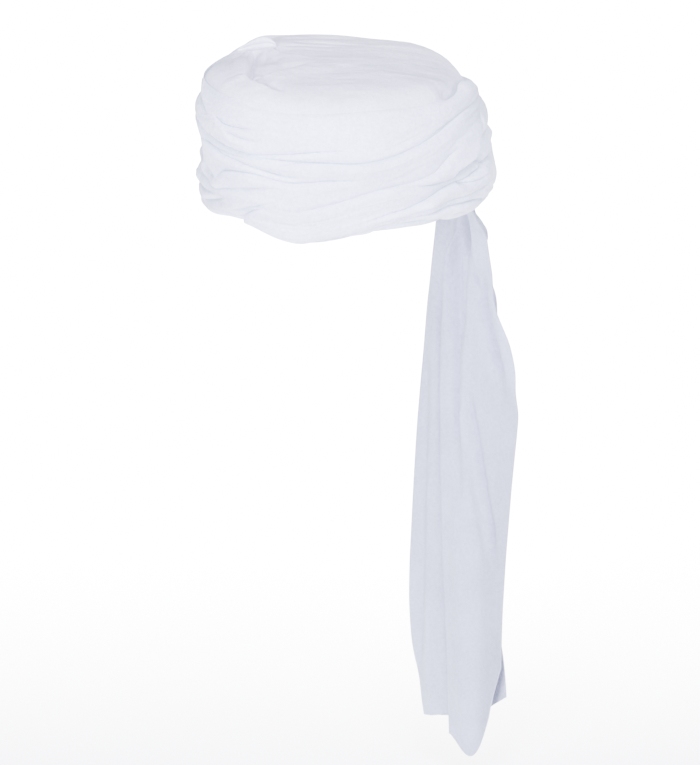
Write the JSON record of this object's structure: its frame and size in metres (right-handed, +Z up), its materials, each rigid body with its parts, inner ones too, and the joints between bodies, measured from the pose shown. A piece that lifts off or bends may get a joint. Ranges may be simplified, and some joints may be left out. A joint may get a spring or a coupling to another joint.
{
  "type": "turban",
  "caption": "Wound white cloth turban with a shallow flat-domed crown, layered folds round the head and a long folded tail hanging at the nape.",
  "frame": {"origin": "centre of the head opening, level with the foot of the rim", "axes": "+Z up out of the crown, -Y towards the brow, +Y towards the nape, +X towards the wearer's left"},
  "size_m": [0.2031, 0.2502, 0.5882],
  "materials": {
    "crown_cloth": "soft white cotton jersey, matt",
    "winding_cloth": "soft white cotton jersey, matt, in soft folds",
    "tail_cloth": "soft white cotton jersey, matt, hanging in long folds"
  },
  "bodies": {
    "root": {"crown_cap": "crown_cloth", "rim_roll": "winding_cloth", "lower_wrap": "winding_cloth", "middle_wrap": "winding_cloth", "upper_wrap": "winding_cloth", "crown_tuck": "crown_cloth", "tail": "tail_cloth"}
  },
  "joints": []
}
